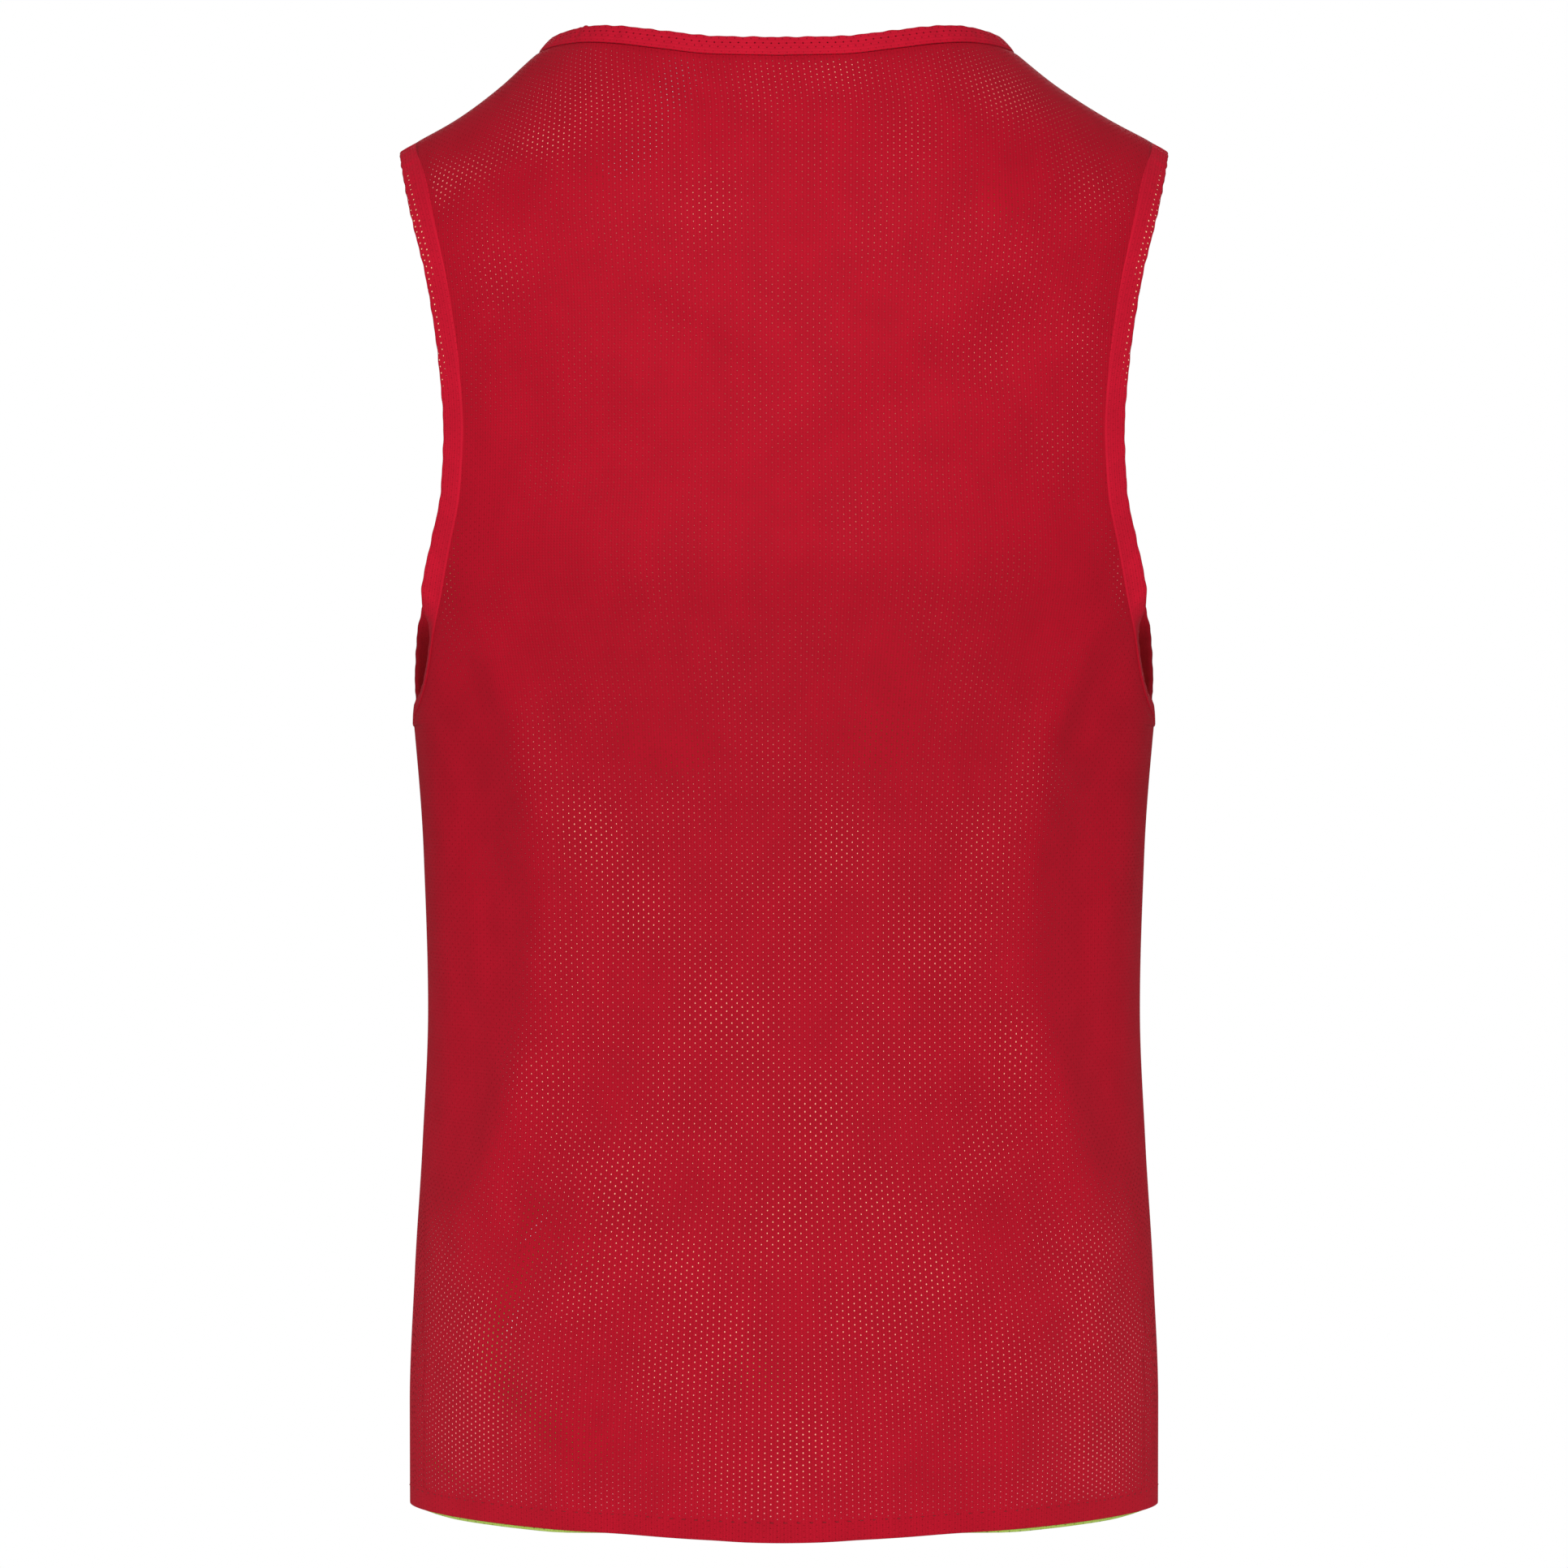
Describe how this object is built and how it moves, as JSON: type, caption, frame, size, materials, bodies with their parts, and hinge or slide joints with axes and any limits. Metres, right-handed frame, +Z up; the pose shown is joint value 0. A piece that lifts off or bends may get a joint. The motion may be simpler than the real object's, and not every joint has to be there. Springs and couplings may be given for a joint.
{
  "type": "reversible training bib",
  "caption": "Sleeveless reversible training bib in holed mesh cloth, red outside and yellow-green inside, with bound neck and armholes, in its worn hollow shape.",
  "frame": {"origin": "middle of the neck hollow between the shoulders, at the middle height of the shoulder seams", "axes": "+Z up; the bib's front faces -Y and its back faces +Y; +X is the wearer's left"},
  "size_m": [0.3648, 0.2423, 0.6966],
  "materials": {
    "red_mesh": "matte red knitted mesh with small round holes",
    "yellow_mesh": "matte fluorescent yellow-green knitted mesh with small round holes",
    "red_binding": "slightly shiny red knitted strip, folded over the edge and stitched"
  },
  "bodies": {
    "root": {"back_panel": "red_mesh", "front_panel": "red_mesh", "back_lining": "yellow_mesh", "front_lining": "yellow_mesh", "neck_binding": "red_binding", "armhole_binding_left": "red_binding", "armhole_binding_right": "red_binding"}
  },
  "joints": []
}
